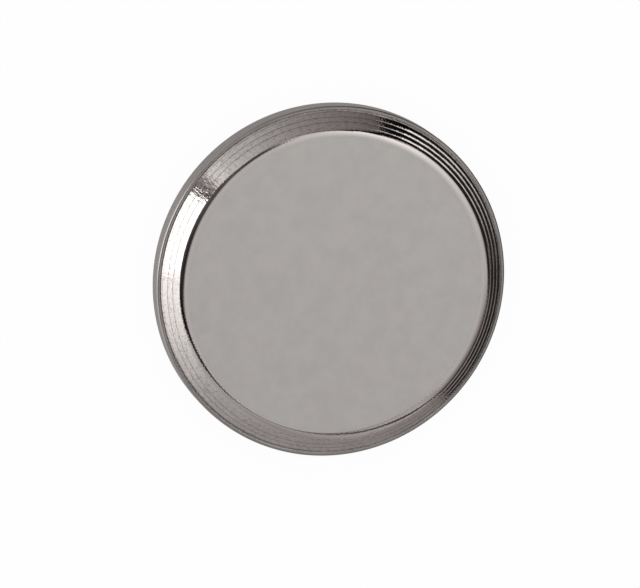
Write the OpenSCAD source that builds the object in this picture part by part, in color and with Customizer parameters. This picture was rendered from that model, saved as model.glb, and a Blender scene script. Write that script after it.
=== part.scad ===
// Disc magnet: a flat, nickel-plated neodymium disc, turned in one piece.
// It lies on its back face, centred on the Z axis, with the front face up.
// The section is a sharp-cornered blank, from which each cut of the lathe is
// taken in turn: the rounded back, the lip, the two arcs that lead off the
// front face, the hollows that the tool leaves along the bevel, and the groove
// where it stopped against the lip.

/* [Disc] */
// Diameter over the plain edge
disc_d = 20; // [12:0.5:60]
// Thickness from the back face to the front face
disc_t = 2.15; // [1.75:0.05:4]
// Radius round the back face, where the edge meets it
back_round_r = 0.15; // [0.05:0.01:0.4]

/* [Edge] */
// Height of the plain edge, from the back face to the top of its lip
edge_h = 1.26; // [0.8:0.02:1.5]
// Width of the lip that is left between the foot of the bevel and the edge
lip_w = 0.16; // [0.12:0.01:0.4]
// Radius along the outside of the lip
lip_round_r = 0.1; // [0.04:0.01:0.12]

/* [Bevel] */
// Angle between the bevel and the front face, in degrees
bevel_angle = 43; // [38:1:52]
// Drop from the top of the lip to the foot of the bevel
foot_drop = 0.08; // [0.03:0.01:0.15]
// Radius of the round-nosed groove at the foot of the bevel
groove_r = 0.05; // [0.03:0.005:0.07]

/* [Turning marks] */
// Step of the turning tool along the bevel from one turn to the next
tool_feed = 0.335; // [0.25:0.005:0.45]
// Distance along the bevel from its foot to the first ridge between two turns
foot_step = 0.191; // [0.12:0.001:0.24]
// Nose radius of the turning tool
tool_nose_r = 1; // [0.5:0.05:2]
// Depth of the ridges between the turns, below the plane of the bevel
ridge_sink = 0.004; // [0.002:0.001:0.01]

/* [Front face] */
// Radius of the tight arc between the bevel and the fall of the front face
corner_round_r = 0.41; // [0.2:0.01:0.6]
// Radius of the wide arc along which the face falls away towards the bevel
fall_r = 1.2; // [0.8:0.1:3]
// Angle at which that fall leaves the flat of the face, in degrees
fall_start_angle = 1; // [0.5:0.5:3]
// Angle that it has reached where the tight arc takes over, in degrees
fall_end_angle = 18; // [12:1:25]

/* [Hidden] */
turned_fn = 180;
nose_fn = 180;
blend_fn = 720;
over = 1;

edge_r = disc_d / 2;
foot = [edge_r - lip_w, edge_h - foot_drop];

// The way down the bevel and the way straight out of it
down = [cos(bevel_angle), -sin(bevel_angle)];
outward = [sin(bevel_angle), cos(bevel_angle)];

// The sharp corner that the bevel would make with the front face
crown = foot - (disc_t - foot[1]) / sin(bevel_angle) * down;

// The tight arc stands this little bit proud of a true tangent, so that it
// crosses the surfaces that it blends instead of grazing them.
proud = 0.0002;

// Centres of the two arcs: the wide one meets the flat face at its start
// angle, and the tight one continues it and runs on into the bevel.
fall_way = [sin(fall_end_angle), cos(fall_end_angle)];
fall_centre_z = disc_t - fall_r * cos(fall_start_angle);
corner_centre_z = fall_centre_z + (fall_r - corner_round_r) * fall_way[1];
corner_centre = [
    (foot * outward - corner_round_r - corner_centre_z * outward[1]) / outward[0],
    corner_centre_z
];
fall_centre = corner_centre - (fall_r - corner_round_r) * fall_way;

// Length of the bevel from its foot to the tight arc, and the turns along it
bevel_top_z = corner_centre_z + corner_round_r * outward[1];
bevel_len = (bevel_top_z - foot[1]) / sin(bevel_angle);
turns = 1 + round((bevel_len - foot_step) / tool_feed);

// Distance from the ridges between the turns out to the line of the tool's centre
ridge_reach = sqrt(pow(tool_nose_r, 2) - pow(tool_feed / 2, 2));

// The blank, with every corner sharp
module blank() {
    polygon([
        [0, 0],
        [edge_r, 0],
        [edge_r, edge_h],
        [foot[0], edge_h],
        foot,
        crown,
        [0, disc_t]
    ]);
}

// What comes off a square outer corner to round it: side is 1 at the top, -1 at the bottom
module corner_cut(height, radius, side) {
    translate([edge_r - radius, height - side * radius])
        difference() {
            scale([1, side]) square(radius + over);
            circle(r = radius, $fn = turned_fn);
        }
}

// What comes off the front face above the wide arc, from just inside its start to the bevel
module fall_cut() {
    inside = [fall_r * sin(fall_start_angle / 2), 0];
    reach = 2 * fall_r;
    translate(fall_centre)
        difference() {
            polygon([inside, inside + [0, reach], [reach, reach], reach * outward]);
            circle(r = fall_r, $fn = blend_fn);
        }
}

// What comes off between the fall and the bevel to leave the tight arc
module crown_cut() {
    reach = 2 * corner_round_r;
    translate(corner_centre)
        difference() {
            polygon([[0, 0], reach * fall_way, reach * (fall_way + outward), reach * outward]);
            circle(r = corner_round_r + proud, $fn = blend_fn);
        }
}

// What one turn of the tool takes off the bevel: turn 0 is the one at the foot
module tool_turn(turn) {
    middle = foot - (foot_step + (turn - 0.5) * tool_feed) * down;
    translate(middle + (ridge_reach - ridge_sink) * outward) circle(r = tool_nose_r, $fn = nose_fn);
}

// All the turns, stopped at the foot so that the lip is left standing
module turning_marks() {
    intersection() {
        union() {
            for (turn = [0 : turns - 1]) tool_turn(turn);
        }
        square([foot[0], disc_t + over]);
    }
}

// The round-nosed groove that the tool leaves where it stops against the lip
module foot_groove() {
    translate(foot) circle(r = groove_r, $fn = nose_fn);
}

module disc_magnet() {
    color("#A7A39E")
        rotate_extrude($fn = turned_fn)
            difference() {
                blank();
                corner_cut(0, back_round_r, -1);
                corner_cut(edge_h, lip_round_r, 1);
                fall_cut();
                crown_cut();
                turning_marks();
                foot_groove();
            }
}

disc_magnet();
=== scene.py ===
"""A nickel-plated disc magnet, lying bevel up on a pale floor under soft studio light."""

from __future__ import annotations

import logging
import math
from dataclasses import dataclass, field
from enum import Enum

import bmesh
import bpy
from mathutils import Matrix, Vector


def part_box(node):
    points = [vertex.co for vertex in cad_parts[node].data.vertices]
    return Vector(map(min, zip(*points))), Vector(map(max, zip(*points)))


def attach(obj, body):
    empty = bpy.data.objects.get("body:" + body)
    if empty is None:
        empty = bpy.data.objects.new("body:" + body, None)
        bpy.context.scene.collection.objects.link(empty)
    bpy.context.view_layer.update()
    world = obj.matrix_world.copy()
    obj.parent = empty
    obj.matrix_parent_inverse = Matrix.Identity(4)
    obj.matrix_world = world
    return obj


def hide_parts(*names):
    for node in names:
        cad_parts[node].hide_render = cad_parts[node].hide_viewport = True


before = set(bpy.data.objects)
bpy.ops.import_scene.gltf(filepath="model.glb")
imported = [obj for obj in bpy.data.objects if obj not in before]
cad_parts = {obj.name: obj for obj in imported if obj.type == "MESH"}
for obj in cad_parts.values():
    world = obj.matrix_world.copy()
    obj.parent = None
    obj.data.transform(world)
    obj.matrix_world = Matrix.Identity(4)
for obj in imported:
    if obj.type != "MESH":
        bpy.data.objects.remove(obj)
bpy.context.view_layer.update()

MM = 0.001
LOG = logging.getLogger("disc_magnet")

Point = tuple[float, float]
Pair = tuple[float, float]
Colour = tuple[float, float, float, float]
Socket = bpy.types.NodeSocket

WHITE: Colour = (1.0, 1.0, 1.0, 1.0)


def linear_colour(code: str) -> Colour:
    """Turn an sRGB hex colour into the linear colour that shaders take.

    Args:
        code: Six hex digits after a hash, such as "#A7A39E".

    Returns:
        Red, green, blue and alpha, with alpha 1.
    """
    parts = [int(code[i : i + 2], 16) / 255 for i in (1, 3, 5)]
    red, green, blue = (p / 12.92 if p <= 0.04045 else ((p + 0.055) / 1.055) ** 2.4 for p in parts)
    return red, green, blue, 1.0


def add_node(
    tree: bpy.types.NodeTree, kind: str, links: dict[int | str, object] | None = None, **settings: object
) -> bpy.types.Node:
    """Add a node to a tree, with its settings, socket values and links.

    Args:
        tree: The node tree to add to.
        kind: The node's type, such as "ShaderNodeMath".
        links: Input name or number to a constant, or to the output socket that feeds it.
        **settings: The node's own properties, such as operation.

    Returns:
        The new node.
    """
    node = tree.nodes.new(kind)
    for name, value in settings.items():
        setattr(node, name, value)
    for name, value in (links or {}).items():
        if isinstance(value, bpy.types.NodeSocket):
            tree.links.new(value, node.inputs[name])
        else:
            node.inputs[name].default_value = value
    return node


def settle(mesh: bmesh.types.BMesh) -> None:
    """Put the parts of a mesh in an order that depends only on where they are.

    A spin leaves them in an order that changes from run to run.

    Args:
        mesh: The mesh to put in order.
    """
    places = (
        (mesh.verts, lambda vert: tuple(vert.co)),
        (mesh.edges, lambda edge: tuple(edge.verts[0].co + edge.verts[1].co)),
        (mesh.faces, lambda face: tuple(face.calc_center_median())),
    )
    for parts, place in places:
        for number, part in enumerate(sorted(parts, key=place)):
            part.index = number
        parts.sort()


class Surface(Enum):
    """The surfaces of the disc that are finished apart, in the order of its materials."""

    FACE = 0
    SHOULDER = 1
    BEVEL = 2
    RIDGE = 3
    GROOVE = 4
    LIP = 5
    EDGE = 6


# The middle radius of the bevel, at which the cells have their length round the disc
BEVEL_MIDDLE_MM = 9.4
# Where the noise of the clouds starts to show and where it is full, and the same for the streaks
CLOUD_LIMITS = (0.35, 0.65)
STREAK_LIMITS = (0.36, 0.50)


def turned_cells(tree: bpy.types.NodeTree, spot: Socket, across_mm: float, along_mm: float) -> Socket:
    """Add a coordinate that grows by one per cell, with cells that follow the turning.

    Args:
        tree: The material's node tree.
        spot: The place on the disc, in metres.
        across_mm: How long a cell is along the disc's section.
        along_mm: How long it is round the disc.

    Returns:
        The coordinate.
    """
    split = add_node(tree, "ShaderNodeSeparateXYZ", {0: spot})
    flat = add_node(tree, "ShaderNodeCombineXYZ", {0: split.outputs[0], 1: split.outputs[1]})
    radius = add_node(tree, "ShaderNodeVectorMath", {0: flat.outputs[0]}, operation="LENGTH")
    sides = {0: radius.outputs["Value"], 1: split.outputs[2]}
    section = add_node(tree, "ShaderNodeMath", sides, operation="SUBTRACT")
    # Down a slope of 45 degrees, radius less height grows by the root of 2 for each unit of length
    scale = {0: section.outputs[0], 1: math.sqrt(0.5) / (across_mm * MM)}
    fine = add_node(tree, "ShaderNodeMath", scale, operation="MULTIPLY")
    lift = add_node(tree, "ShaderNodeCombineXYZ", {2: fine.outputs[0]})
    turn = add_node(tree, "ShaderNodeVectorMath", {0: flat.outputs[0]}, operation="NORMALIZE")
    turns = {0: turn.outputs[0], "Scale": BEVEL_MIDDLE_MM / along_mm}
    around = add_node(tree, "ShaderNodeVectorMath", turns, operation="SCALE")
    return add_node(tree, "ShaderNodeVectorMath", {0: around.outputs[0], 1: lift.outputs[0]}).outputs[0]


@dataclass(frozen=True)
class Relief:
    """One layer of fine relief, as noise with cells of a real size.

    Attributes:
        height_um: How deep the relief is.
        across_mm: How long its cells are along the disc's section.
        along_mm: How long they are round the disc, or None for cells that are round.
    """

    height_um: float
    across_mm: float
    along_mm: float | None = None

    def add(self, tree: bpy.types.NodeTree, spot: Socket, below: Socket | None) -> Socket:
        """Add the layer to a material.

        Args:
            tree: The material's node tree.
            spot: The place on the disc, in metres.
            below: The normal of the layer under this one, or None.

        Returns:
            The normal with this layer on it.
        """
        if self.along_mm is None:
            cells = {"Vector": spot, "Scale": 1 / (self.across_mm * MM), "Detail": 2.0}
        else:
            way = turned_cells(tree, spot, self.across_mm, self.along_mm)
            cells = {"Vector": way, "Scale": 1.0, "Detail": 1.0}
        noise = add_node(tree, "ShaderNodeTexNoise", cells)
        bump = {"Height": noise.outputs["Fac"], "Distance": self.height_um * MM * MM, "Strength": 1.0}
        if below is not None:
            bump["Normal"] = below
        return add_node(tree, "ShaderNodeBump", bump).outputs["Normal"]


@dataclass(frozen=True)
class NickelFinish:
    """Bright nickel plating over one kind of machined surface.

    Attributes:
        name: The material's name.
        colours: The plating's colour, and the one that its faint clouds run to.
        roughness: How far it blurs what it reflects.
        reliefs: Its layers of fine relief, from the lowest one up.
        streaks: The colour of its fine streaks along the turning, or None.
        streak_mm: How wide and how long the streaks are.
        cloud_mm: How large the clouds are.
    """

    name: str
    colours: tuple[str, str]
    roughness: float
    reliefs: tuple[Relief, ...]
    streaks: str | None = None
    streak_mm: Pair = (0.065, 0.20)
    cloud_mm: float = 1.5

    def build(self) -> bpy.types.Material:
        """Build the finish as a material.

        Returns:
            The new material.
        """
        material = bpy.data.materials.new(self.name)
        material.use_nodes = True
        tree = material.node_tree
        tree.nodes.clear()
        spot = add_node(tree, "ShaderNodeTexCoord").outputs["Object"]
        normal = None
        for relief in self.reliefs:
            normal = relief.add(tree, spot, normal)
        metal = {
            "Base Color": self._colour(tree, spot),
            "Metallic": 1.0,
            "Roughness": self.roughness,
            "Normal": normal,
        }
        shader = add_node(tree, "ShaderNodeBsdfPrincipled", metal)
        add_node(tree, "ShaderNodeOutputMaterial", {"Surface": shader.outputs["BSDF"]})
        return material

    def _colour(self, tree: bpy.types.NodeTree, spot: Socket) -> Socket:
        """Add the plating's colour, with its clouds and streaks.

        Args:
            tree: The material's node tree.
            spot: The place on the disc, in metres.

        Returns:
            The colour.
        """
        cells = {"Vector": spot, "Scale": 1 / (self.cloud_mm * MM), "Detail": 3.0}
        clouds = add_node(tree, "ShaderNodeTexNoise", cells)
        plain, cloudy = (linear_colour(code) for code in self.colours)
        colour = self._blend(tree, clouds.outputs["Fac"], CLOUD_LIMITS, plain, cloudy)
        if self.streaks is None:
            return colour
        cells = {"Vector": turned_cells(tree, spot, *self.streak_mm), "Scale": 1.0, "Detail": 1.0}
        marks = add_node(tree, "ShaderNodeTexNoise", cells)
        streaked = linear_colour(self.streaks)
        return self._blend(tree, marks.outputs["Fac"], STREAK_LIMITS, streaked, colour)

    @staticmethod
    def _blend(
        tree: bpy.types.NodeTree, noise: Socket, limits: Pair, first: Colour, last: Colour | Socket
    ) -> Socket:
        """Run from one colour to another while a noise crosses two limits.

        Args:
            tree: The material's node tree.
            noise: The noise.
            limits: Where the run starts and ends.
            first: The colour below the limits.
            last: The colour above them.

        Returns:
            The colour.
        """
        share = add_node(tree, "ShaderNodeMapRange", {0: noise, 1: limits[0], 2: limits[1]})
        ends = {0: share.outputs[0], 6: first, 7: last}
        return add_node(tree, "ShaderNodeMix", ends, data_type="RGBA").outputs[2]


# The grain of the lapped face and the grit of the ground edge are really some hundredths of a
# millimetre across or finer, and are drawn as coarse as they need to show.
GRAIN = Relief(height_um=0.3, across_mm=0.08)
GROUND = Relief(height_um=0.6, across_mm=0.06)
# The unevenness of the rolled shoulder
RAGGED = Relief(height_um=2.2, across_mm=0.25, along_mm=0.12)
# The fine rings that the tool's edge draws round the bevel, and the chatter that runs across them
RINGS = Relief(height_um=2.0, across_mm=0.09, along_mm=2.0)
CHATTER = Relief(height_um=6.5, across_mm=0.30, along_mm=0.13)

FINISHES: dict[Surface, NickelFinish] = {
    # Satin grey with faint clouds, so that the flat face reads as lapped metal
    Surface.FACE: NickelFinish(
        "lapped_nickel_plating", ("#D5D0CC", "#D0CBC8"), 0.28, (GRAIN,), cloud_mm=0.85
    ),
    # A near mirror with hair-fine ragged edges to what it shows, where the face rolls over
    Surface.SHOULDER: NickelFinish("rolled_nickel_plating", ("#D6CFCC", "#D1CBC8"), 0.05, (RAGGED,)),
    # Bright bands and dark ones, hatched across by the chatter of the tool and streaked along its way
    Surface.BEVEL: NickelFinish(
        "turned_nickel_plating", ("#D8D1CE", "#D1CBC8"), 0.045, (RINGS, CHATTER), streaks="#BBB5B2"
    ),
    # Thin lines between the passes of the tool, darker and duller than the bevel, so that they don't
    # glint
    Surface.RIDGE: NickelFinish(
        "dark_ridge_nickel_plating", ("#B0AAA7", "#A5A09D"), 0.20, (RINGS, CHATTER), streaks="#847F7C"
    ),
    # Near white and soft, brighter than the plating elsewhere: painted light that lifts the shade in the
    # groove at the foot of the bevel, so that it shows as a line only where it faces the dark
    Surface.GROOVE: NickelFinish("groove_painted_light_nickel_plating", ("#FBF9F7", "#F2F0EE"), 0.20, (GRAIN,)),
    # A darker grey than the edge's: painted shade that keeps the narrow lip a quiet rim round the bright
    # bevel
    Surface.LIP: NickelFinish("lip_painted_shade_nickel_plating", ("#A8A3A0", "#A09B98"), 0.30, (GROUND,)),
    # Plain grey, finely ground, for the edge
    Surface.EDGE: NickelFinish("ground_nickel_plating", ("#C8C3BF", "#C0BBB8"), 0.30, (GROUND,)),
}


@dataclass
class DiscMagnet:
    """The magnet: a disc turned in one piece, with its sizes in millimetres and degrees.

    Attributes:
        radius: The radius of the plain edge.
        thickness: How thick the disc is.
        back_round_r: The radius round the back face.
        edge_h: The height of the lip above the back face.
        lip_w: The width of the lip between the bevel and the edge.
        lip_round_r: The radius along the outside of the lip.
        bevel_angle: The angle between the bevel and the front face.
        foot_drop: The drop from the lip to the foot of the bevel.
        groove_r: The radius of the groove at that foot.
        tool_feed: The step of the tool along the bevel from one turn to the next.
        foot_step: How far up the bevel the first ridge between two turns lies.
        tool_nose_r: The radius of the tool's nose.
        ridge_sink: How deep the ridges lie below the plane of the bevel.
        corner_round_r: The radius of the tight arc at the top of the bevel.
        fall_r: The radius of the wide arc along which the front face falls away.
        fall_angle: The angle at which the tight arc takes over from the wide one.
        round_steps: How many steps the mesh has round the disc.
        fall_steps: How many it has along the wide arc.
        corner_steps: How many it has along the tight arc.
        hollow_steps: How many it has along each hollow of the bevel.
        groove_steps: How many it has along the groove.
        lip_steps: How many it has along the rounding of the lip.
        back_steps: How many it has along the rounding of the back.
        crisp_angle: The angle from which an edge of the mesh shows as a crease.
        weld_mm: How near two points are joined.
        mesh: The mesh that the stretches of the section are added to.
    """

    radius: float
    thickness: float
    back_round_r: float = 0.15
    edge_h: float = 1.26
    lip_w: float = 0.16
    lip_round_r: float = 0.1
    bevel_angle: float = 43.0
    foot_drop: float = 0.08
    groove_r: float = 0.05
    tool_feed: float = 0.335
    foot_step: float = 0.191
    tool_nose_r: float = 1.0
    ridge_sink: float = 0.004
    corner_round_r: float = 0.41
    fall_r: float = 1.2
    fall_angle: float = 18.0
    round_steps: int = 512
    fall_steps: int = 24
    corner_steps: int = 18
    hollow_steps: int = 14
    groove_steps: int = 30
    lip_steps: int = 16
    back_steps: int = 14
    crisp_angle: float = 6.0
    weld_mm: float = 0.0001
    mesh: bmesh.types.BMesh = field(default_factory=bmesh.new)

    @property
    def foot(self) -> Point:
        """The foot of the bevel."""
        return self.radius - self.lip_w, self.edge_h - self.foot_drop

    @property
    def down(self) -> Point:
        """The way down the bevel."""
        tilt = math.radians(self.bevel_angle)
        return math.cos(tilt), -math.sin(tilt)

    @property
    def outward(self) -> Point:
        """The way straight out of the bevel."""
        tilt = math.radians(self.bevel_angle)
        return math.sin(tilt), math.cos(tilt)

    @property
    def corner_centre(self) -> Point:
        """The centre of the tight arc, which touches the wide arc and the plane of the bevel.

        Returns:
            The centre's radius and height.
        """
        foot, out = self.foot, self.outward
        drop = (self.fall_r - self.corner_round_r) * math.cos(math.radians(self.fall_angle))
        height = self.thickness - self.fall_r + drop
        reach = foot[0] * out[0] + foot[1] * out[1] - self.corner_round_r
        return (reach - height * out[1]) / out[0], height

    @property
    def fall_centre(self) -> Point:
        """The centre of the wide arc, which leaves the flat face without a crease."""
        lean = (self.fall_r - self.corner_round_r) * math.sin(math.radians(self.fall_angle))
        return self.corner_centre[0] - lean, self.thickness - self.fall_r

    @property
    def half_sweep(self) -> float:
        """Half the angle, in degrees, that a hollow of the bevel sweeps from ridge to ridge."""
        return math.degrees(math.asin(self.tool_feed / 2 / self.tool_nose_r))

    def hollow_centres(self) -> list[Point]:
        """Where the centre of the tool's nose is on each turn.

        Returns:
            The centres, from the top of the bevel down.
        """
        bevel_top = self.corner_centre[1] + self.corner_round_r * self.outward[1]
        bevel_len = (bevel_top - self.foot[1]) / math.sin(math.radians(self.bevel_angle))
        turns = 1 + round((bevel_len - self.foot_step) / self.tool_feed)
        lift = self.tool_nose_r * math.cos(math.radians(self.half_sweep)) - self.ridge_sink
        along = [self.foot_step + (turn - 0.5) * self.tool_feed for turn in reversed(range(turns))]
        middles = [self.shifted(self.foot, self.down, -way) for way in along]
        return [self.shifted(middle, self.outward, lift) for middle in middles]

    def corner_arc(self) -> list[Point]:
        """The tight arc, from the wide one to the top hollow of the bevel.

        Returns:
            The points of the arc.
        """
        centre, radius = self.corner_centre, self.corner_round_r
        end = self.meeting(centre, radius, self.hollow_centres()[0])
        return self.arc(centre, radius, self.fall_angle, end, self.corner_steps)

    def groove_arc(self) -> list[Point]:
        """The groove, from the lowest hollow of the bevel to the wall under the lip.

        Returns:
            The points of the arc.
        """
        start = self.meeting(self.foot, self.groove_r, self.hollow_centres()[-1])
        return self.arc(self.foot, self.groove_r, start % 360, 0, self.groove_steps)

    def turn_front(self) -> None:
        """Turn the flat front face, the wide arc along which it falls away, and the tight arc."""
        centre = self.fall_centre
        fall = self.arc(centre, self.fall_r, 0, self.fall_angle, self.fall_steps)
        self.stretch(self.straight((0, self.thickness), (centre[0], self.thickness)), Surface.FACE)
        self.stretch(fall, Surface.SHOULDER)
        self.stretch(self.corner_arc(), Surface.BEVEL)

    def turn_bevel(self) -> None:
        """Turn the hollows of the bevel, from the top one down, with the ridges between them."""
        centres = self.hollow_centres()
        # Seen from the centre of the tool's nose, the way in which it stands square on the bevel
        square = 180 + self.bevel_angle
        for centre in centres:
            top, bottom = centre == centres[0], centre == centres[-1]
            start = self.bearing(centre, self.corner_arc()[-1]) if top else square + self.half_sweep
            end = self.bearing(centre, self.groove_arc()[0]) if bottom else square - self.half_sweep
            points = self.arc(centre, self.tool_nose_r, start, end, self.hollow_steps)
            self.stretch(points[:2], Surface.BEVEL if top else Surface.RIDGE)
            self.stretch(points[1:-1], Surface.BEVEL)
            self.stretch(points[-2:], Surface.BEVEL if bottom else Surface.RIDGE)

    def turn_lip(self) -> None:
        """Turn the groove at the foot of the bevel, and the lip with its rounding."""
        groove = self.groove_arc()
        inner = (self.foot[0], self.edge_h)
        centre = (self.radius - self.lip_round_r, self.edge_h - self.lip_round_r)
        self.stretch(groove, Surface.GROOVE)
        self.stretch([groove[-1], inner], Surface.GROOVE)
        self.stretch([inner, (centre[0], self.edge_h)], Surface.LIP)
        self.stretch(self.arc(centre, self.lip_round_r, 0, 90, self.lip_steps), Surface.LIP)

    def turn_back(self) -> None:
        """Turn the plain edge, the rounding of the back and the flat back."""
        centre = (self.radius - self.back_round_r, self.back_round_r)
        top = (self.radius, self.edge_h - self.lip_round_r)
        self.stretch(self.straight(top, (self.radius, self.back_round_r)), Surface.EDGE)
        self.stretch(self.arc(centre, self.back_round_r, 90, 180, self.back_steps), Surface.EDGE)
        self.stretch(self.straight((centre[0], 0), (0, 0)), Surface.FACE)

    def build(self) -> bpy.types.Object:
        """Turn the whole section into one closed piece and dress it.

        Returns:
            The disc, in place, in metres.
        """
        self.turn_front()
        self.turn_bevel()
        self.turn_lip()
        self.turn_back()
        bmesh.ops.remove_doubles(self.mesh, verts=self.mesh.verts, dist=self.weld_mm * MM)
        bmesh.ops.recalc_face_normals(self.mesh, faces=self.mesh.faces)
        crisp = math.radians(self.crisp_angle)
        for edge in self.mesh.edges:
            edge.smooth = not edge.is_manifold or edge.calc_face_angle() < crisp
        settle(self.mesh)
        data = bpy.data.meshes.new("disc_magnet_turned")
        self.mesh.to_mesh(data)
        self.mesh.free()
        disc = bpy.data.objects.new("turned_disc", data)
        bpy.context.scene.collection.objects.link(disc)
        for surface in Surface:
            data.materials.append(FINISHES[surface].build())
        return disc

    def stretch(self, points: list[Point], surface: Surface) -> None:
        """Revolve a chain of section points and give the new faces their finish.

        Args:
            points: Radius and height of each point, in millimetres.
            surface: The surface that the faces belong to.
        """
        turned = bmesh.new()
        verts = [turned.verts.new((r * MM, 0, z * MM)) for r, z in points]
        edges = [turned.edges.new(pair) for pair in zip(verts, verts[1:])]
        bmesh.ops.spin(
            turned,
            geom=verts + edges,
            cent=(0, 0, 0),
            axis=(0, 0, 1),
            angle=math.tau,
            steps=self.round_steps,
            use_merge=True,
        )
        for face in turned.faces:
            face.material_index = surface.value
            face.smooth = True
        scratch = bpy.data.meshes.new("stretch")
        turned.to_mesh(scratch)
        turned.free()
        self.mesh.from_mesh(scratch)
        bpy.data.meshes.remove(scratch)

    def meeting(self, centre: Point, radius: float, hollow: Point) -> float:
        """The angle on a circle at which a hollow of the tool meets it, on the inner side.

        Args:
            centre: Radius and height of the circle's centre.
            radius: The circle's radius.
            hollow: The centre of the hollow.

        Returns:
            The angle in degrees.
        """
        gap = math.dist(centre, hollow)
        cosine = (gap**2 + radius**2 - self.tool_nose_r**2) / (2 * gap * radius)
        return self.bearing(centre, hollow) - math.degrees(math.acos(cosine))

    @staticmethod
    def bearing(centre: Point, point: Point) -> float:
        """The angle of a point seen from a centre, from the vertical towards the outside.

        Args:
            centre: Radius and height of the centre.
            point: Radius and height of the point.

        Returns:
            The angle in degrees, from 0 to 360.
        """
        return math.degrees(math.atan2(point[0] - centre[0], point[1] - centre[1])) % 360

    @staticmethod
    def shifted(point: Point, way: Point, distance: float) -> Point:
        """A point moved along a direction of the section.

        Args:
            point: Radius and height of the point.
            way: The direction, one long.
            distance: How far it moves.

        Returns:
            The new point.
        """
        return point[0] + way[0] * distance, point[1] + way[1] * distance

    @staticmethod
    def arc(centre: Point, radius: float, start: float, end: float, steps: int) -> list[Point]:
        """Points along an arc of the section, at angles from the vertical towards the outside.

        Args:
            centre: Radius and height of the arc's centre.
            radius: The arc's radius.
            start: First angle in degrees.
            end: Last angle in degrees.
            steps: Number of steps between them.

        Returns:
            The points, from the first angle to the last.
        """
        angles = [math.radians(start + (end - start) * i / steps) for i in range(steps + 1)]
        return [(centre[0] + radius * math.sin(a), centre[1] + radius * math.cos(a)) for a in angles]

    @staticmethod
    def straight(start: Point, end: Point, guard: float = 0.02) -> list[Point]:
        """A straight stretch of the section, whose shading stays flat between its ends.

        Args:
            start: First point.
            end: Last point.
            guard: Where the extra point near each end lies, as a share of the length.

        Returns:
            The four points.
        """
        shares = (0, guard, 1 - guard, 1)
        return [(start[0] + (end[0] - start[0]) * s, start[1] + (end[1] - start[1]) * s) for s in shares]


def direction(azimuth: float, elevation: float) -> Vector:
    """The unit vector that points at an azimuth and elevation.

    Args:
        azimuth: Degrees from +X towards +Y.
        elevation: Degrees above the floor.

    Returns:
        The vector.
    """
    turn, rise = math.radians(azimuth), math.radians(elevation)
    return Vector((math.cos(turn) * math.cos(rise), math.sin(turn) * math.cos(rise), math.sin(rise)))


@dataclass
class Heading:
    """The sockets that tell the world's shader which way a ray goes.

    Attributes:
        tree: The world's node tree.
        way: The ray's direction, one long.
        azimuth: Its azimuth in degrees, from +X towards +Y.
        elevation: Its elevation in degrees, above the floor.
    """

    tree: bpy.types.NodeTree
    way: Socket = field(init=False)
    azimuth: Socket = field(init=False)
    elevation: Socket = field(init=False)

    def __post_init__(self) -> None:
        """Add the nodes that work out the azimuth and elevation, in degrees."""
        self.way = add_node(self.tree, "ShaderNodeTexCoord").outputs["Generated"]
        split = add_node(self.tree, "ShaderNodeSeparateXYZ", {0: self.way})
        self.azimuth = self.reckon("DEGREES", self.reckon("ARCTAN2", split.outputs[1], split.outputs[0]))
        self.elevation = self.reckon("DEGREES", self.reckon("ARCSINE", split.outputs[2]))

    def reckon(self, operation: str, first: Socket | float, second: Socket | float = 0.0) -> Socket:
        """Work out a sum of one or two values.

        Args:
            operation: The kind of sum, as the math node names it.
            first: The first value.
            second: The second value, where the sum takes one.

        Returns:
            The result.
        """
        values = {0: first, 1: second}
        return add_node(self.tree, "ShaderNodeMath", values, operation=operation).outputs[0]

    def ramp(
        self, value: Socket, limits: Pair, results: Pair = (0.0, 1.0), kind: str = "SMOOTHSTEP"
    ) -> Socket:
        """Run smoothly or evenly from one result to another while a value crosses two limits.

        Args:
            value: The value that is followed.
            limits: Where the run starts and ends.
            results: The results there.
            kind: The interpolation, as the map range node names it.

        Returns:
            The result.
        """
        links = {0: value, 1: limits[0], 2: limits[1], 3: results[0], 4: results[1]}
        return add_node(self.tree, "ShaderNodeMapRange", links, interpolation_type=kind).outputs[0]

    def along(self, axis: Vector) -> Socket:
        """How far the ray points along an axis.

        Args:
            axis: A unit vector.

        Returns:
            The cosine of the angle between them.
        """
        ways = {0: self.way, 1: axis}
        dot = add_node(self.tree, "ShaderNodeVectorMath", ways, operation="DOT_PRODUCT")
        return dot.outputs["Value"]


@dataclass(frozen=True)
class Panel:
    """An upright card or softbox, by azimuth and elevation in degrees.

    Attributes:
        sides: The azimuths of its two sides.
        feet: The elevation of its foot at each side.
        tops: The elevation of its top at each side.
        levels: Its brightness at each side.
        soft: How wide its soft edges are, at the sides and at the top.
        foot_soft: How wide its soft edge is at the foot.
    """

    sides: Pair
    feet: Pair
    tops: Pair
    levels: Pair
    soft: Pair = (2.0, 4.0)
    foot_soft: float = 4.0

    def share(self, heading: Heading) -> Socket:
        """How much of the panel a ray meets.

        Args:
            heading: The way that the ray goes.

        Returns:
            The share, from 0 to 1.
        """
        side, rise, sill = self.soft[0] / 2, self.soft[1] / 2, self.foot_soft / 2
        left = heading.ramp(heading.azimuth, (self.sides[0] - side, self.sides[0] + side))
        right = heading.ramp(heading.azimuth, (self.sides[1] - side, self.sides[1] + side), (1.0, 0.0))
        top = heading.ramp(heading.azimuth, self.sides, self.tops, "LINEAR")
        foot = heading.ramp(heading.azimuth, self.sides, self.feet, "LINEAR")
        over_top = heading.reckon("SUBTRACT", heading.elevation, top)
        over_foot = heading.reckon("SUBTRACT", heading.elevation, foot)
        below = heading.ramp(over_top, (-rise, rise), (1.0, 0.0))
        above = heading.ramp(over_foot, (-sill, sill))
        across = heading.reckon("MULTIPLY", left, right)
        return heading.reckon("MULTIPLY", across, heading.reckon("MULTIPLY", below, above))

    def level(self, heading: Heading) -> Socket:
        """The panel's brightness, which runs evenly from one side to the other.

        Args:
            heading: The way that the ray goes.

        Returns:
            The brightness, where white paper in full light has 1.
        """
        return heading.ramp(heading.azimuth, self.sides, self.levels, "LINEAR")


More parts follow.
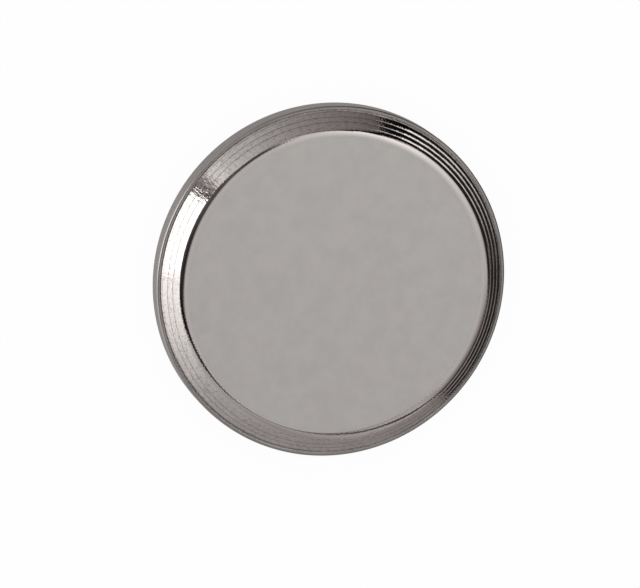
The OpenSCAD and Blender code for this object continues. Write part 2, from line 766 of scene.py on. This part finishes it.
@dataclass(frozen=True)
class Spot:
    """A round patch about one direction.

    Attributes:
        azimuth: Its azimuth in degrees.
        elevation: Its elevation in degrees.
        radius: Its radius in degrees.
        soft: How wide its soft edge is, in degrees.
        brightness: Its brightness.
    """

    azimuth: float
    elevation: float
    radius: float
    soft: float
    brightness: float

    def share(self, heading: Heading) -> Socket:
        """How much of the patch a ray meets.

        Args:
            heading: The way that the ray goes.

        Returns:
            The share, from 0 to 1.
        """
        cosine = heading.along(direction(self.azimuth, self.elevation))
        off = heading.reckon("DEGREES", heading.reckon("ARCCOSINE", cosine))
        return heading.ramp(off, (self.radius - self.soft / 2, self.radius + self.soft / 2), (1.0, 0.0))

    def level(self, heading: Heading) -> float:
        """The patch's brightness.

        Args:
            heading: The way that the ray goes, which isn't used.

        Returns:
            The brightness.
        """
        return self.brightness


@dataclass(frozen=True)
class Seam:
    """A straight gap between two panels.

    Attributes:
        start: The azimuth and elevation of one end, in degrees.
        end: The azimuth and elevation of the other end.
        half_width: Half its width, in degrees.
        soft: How wide its soft edge is, in degrees.
        brightness: Its brightness.
    """

    start: Pair
    end: Pair
    half_width: float
    soft: float
    brightness: float

    def share(self, heading: Heading) -> Socket:
        """How much of the gap a ray meets.

        Args:
            heading: The way that the ray goes.

        Returns:
            The share, from 0 to 1.
        """
        first, last = direction(*self.start), direction(*self.end)
        half_length = math.degrees(first.angle(last)) / 2
        sine = heading.reckon("ABSOLUTE", heading.along(first.cross(last).normalized()))
        off = heading.reckon("DEGREES", heading.reckon("ARCSINE", sine))
        cosine = heading.along((first + last).normalized())
        away = heading.reckon("DEGREES", heading.reckon("ARCCOSINE", cosine))
        half = self.soft / 2
        across = heading.ramp(off, (self.half_width - half, self.half_width + half), (1.0, 0.0))
        along = heading.ramp(away, (half_length - half, half_length + half), (1.0, 0.0))
        return heading.reckon("MULTIPLY", across, along)

    def level(self, heading: Heading) -> float:
        """The gap's brightness.

        Args:
            heading: The way that the ray goes, which isn't used.

        Returns:
            The brightness.
        """
        return self.brightness


# Feet that reach straight down
NADIR: Pair = (-91, -91)

# What the metal sees of the studio, from the first card laid down to the last, by azimuth and
# elevation in degrees. The camera stands towards azimuth -90.
SURROUNDINGS: tuple[Panel | Spot | Seam, ...] = (
    # The bright middle of the ceiling
    Spot(162, 61, 14, 27, 1.10),
    Spot(168, 62, 7, 11, 1.22),
    # The grey cards on the left
    Panel((-190, -130), NADIR, (65, 68), (0.04, 0.39), (0.2, 5)),
    Panel((-190, -171), NADIR, (65, 65), (0.0, 0.01), (1, 5)),
    Panel((-163, -140), NADIR, (66, 68), (0.22, 0.34), (6, 5)),
    Panel((-130, -98), NADIR, (68, 66), (0.39, 0.71), (0.2, 5)),
    Panel((-98, -80), NADIR, (60, 60), (0.71, 1.35), (0.2, 5)),
    Panel((-128, -100), (43, 43), (68, 66), (0.38, 0.80), (4, 5)),
    # The camera and its stand
    Spot(-124, 76, 7, 8, 0.07),
    Spot(-72, 71.5, 12.5, 10, 0.10),
    Spot(-24, 70, 11, 12, 0.03),
    Panel((-97, -80), (58, 38), (68, 68), (0.11, 0.12), (4, 6)),
    # The softbox, and its dim upper part
    Panel((-88, -79), NADIR, (40, 40), (0.36, 0.36), (4, 4)),
    Panel((-83, -79), NADIR, (40, 40), (0.09, 0.09), (2, 4)),
    Panel((-82, -22), (36, 36), (66, 64), (0.15, 0.03), (3, 6)),
    Panel((-79, -41), NADIR, (44, 39), (2.10, 2.10), (2, 5)),
    # The wide card on the right, and its brighter upper side
    Panel((-41, 88), NADIR, (39, 70), (1.40, 0.31), (2, 4)),
    Panel((-37, -20), NADIR, (38, 44), (1.50, 1.12), (2, 4)),
    Panel((-20, 0), NADIR, (44, 59), (1.12, 0.71), (0.2, 4)),
    Panel((0, 10), NADIR, (59, 61), (0.71, 0.54), (0.2, 4)),
    Panel((10, 30), NADIR, (61, 64), (0.54, 0.42), (0.2, 4)),
    Panel((30, 88), NADIR, (64, 67), (0.42, 0.30), (0.2, 3)),
    Panel((-10, 14), (27, 27), (55, 61), (0.90, 0.60), (4, 4)),
    Panel((12, 45), (30, 30), (60, 64), (0.57, 0.42), (4, 6)),
    Panel((58, 88), (4, 4), (66, 66), (0.43, 0.54), (8, 6)),
    # The gaps above that card and beside it
    Seam((80, 69.2), (53, 69.2), 1.0, 1.4, 0.03),
    Seam((56, 69.6), (28, 67.8), 2.3, 2.5, 0.02),
    Seam((32, 68.2), (4, 65.6), 3.4, 3, 0.01),
    Seam((8, 66.6), (-12, 60.5), 4, 3.5, 0.01),
    Seam((-4, 64), (-21, 52), 5, 4, 0.01),
    Seam((-16, 57), (-29, 43), 5, 4, 0.03),
    Seam((78, 69), (72, 61), 0.9, 1.6, 0.06),
    Seam((72, 63), (72.5, 53), 1.2, 1.8, 0.05),
    Seam((72.5, 55), (79, 41), 2.0, 2.5, 0.03),
    Seam((78, 42), (87, 28), 2.5, 2.5, 0.03),
    Seam((85, 32), (89, 5), 2.4, 2.5, 0.04),
    # The dark end of the studio
    Panel((88, 112), NADIR, (45, 44), (0.17, 0.16), (10, 40)),
    Panel((88, 128), NADIR, (12, 12), (0.02, 0.02), (2, 36)),
    Panel((114, 184), NADIR, (41, 50), (0.025, 0.012), (12, 14)),
    Panel((88, 128), NADIR, (-15, -18), (0.30, 0.20), (4, 5)),
    # The strip of light low in that end
    Panel((124, 184), (-18, -8), (-7, 4), (0.12, 1.60), (5, 4)),
    Panel((-186, -163), (-8, -7), (-1, -3), (1.60, 0.12), (2, 3)),
    # The gap beside the next card
    Seam((170, 40), (170, 58), 3.2, 3, 0.42),
    Seam((179, 12), (179, 62), 4, 3, 0.0),
    # The floor close under the disc, as the metal sees it, dimmed as painted shade from the disc
    Panel((-190, 190), (-95, -95), (-50, -50), (0.38, 0.38), (2, 6)),
)


@dataclass
class Studio:
    """The floor, the light and the camera, with sizes in millimetres and degrees.

    Attributes:
        floor_radius: How far the floor runs.
        floor_steps: How many sides its round outline has.
        floor_drop: How far it lies below the back of the disc, so that the two don't flicker.
        camera_distance: How far the camera stands from the disc.
        camera_tilt: How far it leans from straight above the disc.
        camera_roll: How far it is turned about the way that it looks.
        camera_lens: Its focal length.
        sensor_width: The width of its sensor.
        clip: The nearest and the farthest that it sees, in metres.
        aim: How far it stands to the side and up, so that the disc lies where it should.
        base_level: How bright the surroundings are where no card or patch lies.
        tinted_levels: The brightness at which their tint is full, and at which it is gone.
        dim_tint: The tint of the dim surroundings.
        fill_level: How bright the plain fill is, which lights the floor.
        paper_colour: The colour of the floor's paper.
        paper_lift: How far the eye sees that paper as plain white.
    """

    floor_radius: float = 3000.0
    floor_steps: int = 128
    floor_drop: float = 0.01
    camera_distance: float = 333.0
    camera_tilt: float = 18.2
    camera_roll: float = 131.8
    camera_lens: float = 333.8
    sensor_width: float = 36.0
    clip: Pair = (0.01, 100.0)
    aim: Pair = (-0.370, -0.927)
    base_level: float = 0.62
    tinted_levels: Pair = (0.2, 0.55)
    dim_tint: Colour = (1.0, 0.91, 0.915, 1.0)
    fill_level: float = 1.0
    paper_colour: str = "#EBEBEB"
    paper_lift: float = 0.95

    def surroundings(self) -> None:
        """Dress the world: what the metal reflects, a plain fill for the floor, white for the eye."""
        world = bpy.data.worlds.new("studio")
        bpy.context.scene.world = world
        world.use_nodes = True
        tree = world.node_tree
        tree.nodes.clear()
        heading = Heading(tree)
        level: Socket | float = self.base_level
        for patch in SURROUNDINGS:
            links = {0: patch.share(heading), 2: level, 3: patch.level(heading)}
            level = add_node(tree, "ShaderNodeMix", links, data_type="FLOAT").outputs[0]
        ends = {0: heading.ramp(level, self.tinted_levels), 6: self.dim_tint, 7: WHITE}
        tint = add_node(tree, "ShaderNodeMix", ends, data_type="RGBA").outputs[2]
        mirrored = add_node(tree, "ShaderNodeEmission", {"Color": tint, "Strength": level})
        fill = add_node(tree, "ShaderNodeEmission", {"Strength": self.fill_level})
        white = add_node(tree, "ShaderNodeEmission", {"Strength": 1.0})
        seen = add_node(tree, "ShaderNodeLightPath")
        links = {0: seen.outputs["Is Glossy Ray"], 1: fill.outputs[0], 2: mirrored.outputs[0]}
        lit = add_node(tree, "ShaderNodeMixShader", links)
        links = {0: seen.outputs["Is Camera Ray"], 1: lit.outputs[0], 2: white.outputs[0]}
        final = add_node(tree, "ShaderNodeMixShader", links)
        add_node(tree, "ShaderNodeOutputWorld", {"Surface": final.outputs[0]})

    def paper(self) -> bpy.types.Material:
        """Matt pale paper, lifted towards white for the eye, so that little but the shadow shows on it.

        It is clear from below, so that the back of the disc can be seen.

        Returns:
            The new material.
        """
        material = bpy.data.materials.new("pale_paper")
        material.use_nodes = True
        tree = material.node_tree
        tree.nodes.clear()
        matt = add_node(tree, "ShaderNodeBsdfDiffuse", {"Color": linear_colour(self.paper_colour)})
        white = add_node(tree, "ShaderNodeEmission", {"Strength": 1.0})
        seen = add_node(tree, "ShaderNodeLightPath").outputs["Is Camera Ray"]
        share = add_node(tree, "ShaderNodeMath", {0: seen, 1: self.paper_lift}, operation="MULTIPLY")
        links = {0: share.outputs[0], 1: matt.outputs[0], 2: white.outputs[0]}
        lifted = add_node(tree, "ShaderNodeMixShader", links)
        under = add_node(tree, "ShaderNodeNewGeometry").outputs["Backfacing"]
        clear = add_node(tree, "ShaderNodeBsdfTransparent")
        links = {0: under, 1: lifted.outputs[0], 2: clear.outputs[0]}
        one_sided = add_node(tree, "ShaderNodeMixShader", links)
        add_node(tree, "ShaderNodeOutputMaterial", {"Surface": one_sided.outputs[0]})
        return material

    def floor(self) -> None:
        """Lay the floor, which the metal doesn't reflect: the surroundings hold its reflection."""
        mesh = bmesh.new()
        radius = self.floor_radius * MM
        bmesh.ops.create_circle(mesh, cap_ends=True, segments=self.floor_steps, radius=radius)
        data = bpy.data.meshes.new("studio_floor")
        mesh.to_mesh(data)
        mesh.free()
        data.materials.append(self.paper())
        floor = bpy.data.objects.new("studio_floor", data)
        floor.location.z = -self.floor_drop * MM
        bpy.context.scene.collection.objects.link(floor)
        floor.visible_glossy = False

    def camera(self) -> None:
        """Set the camera: almost overhead, rolled so that the disc leans as it should."""
        data = bpy.data.cameras.new("camera")
        data.lens = self.camera_lens
        data.sensor_width = self.sensor_width
        data.clip_start, data.clip_end = self.clip
        camera = bpy.data.objects.new("camera", data)
        bpy.context.scene.collection.objects.link(camera)
        lean = Matrix.Rotation(math.radians(self.camera_tilt), 4, "X")
        roll = Matrix.Rotation(math.radians(self.camera_roll), 4, "Z")
        offset = Vector((*self.aim, self.camera_distance)) * MM
        camera.matrix_world = lean @ roll @ Matrix.Translation(offset)
        bpy.context.scene.camera = camera


def main() -> None:
    """Build the disc and the studio."""
    logging.basicConfig(level=logging.INFO, format="%(name)s: %(message)s")
    low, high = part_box("disc_magnet")
    magnet = DiscMagnet(radius=high.x / MM, thickness=(high.z - low.z) / MM)
    disc = magnet.build()
    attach(disc, "root")
    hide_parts("disc_magnet")
    LOG.info("%s: %d faces", disc.name, len(disc.data.polygons))
    studio = Studio()
    studio.floor()
    studio.surroundings()
    studio.camera()
    bpy.context.scene.view_settings.view_transform = "Standard"
    LOG.info("studio: floor, %d cards and patches of light, camera", len(SURROUNDINGS))


if __name__ == "__main__":
    main()
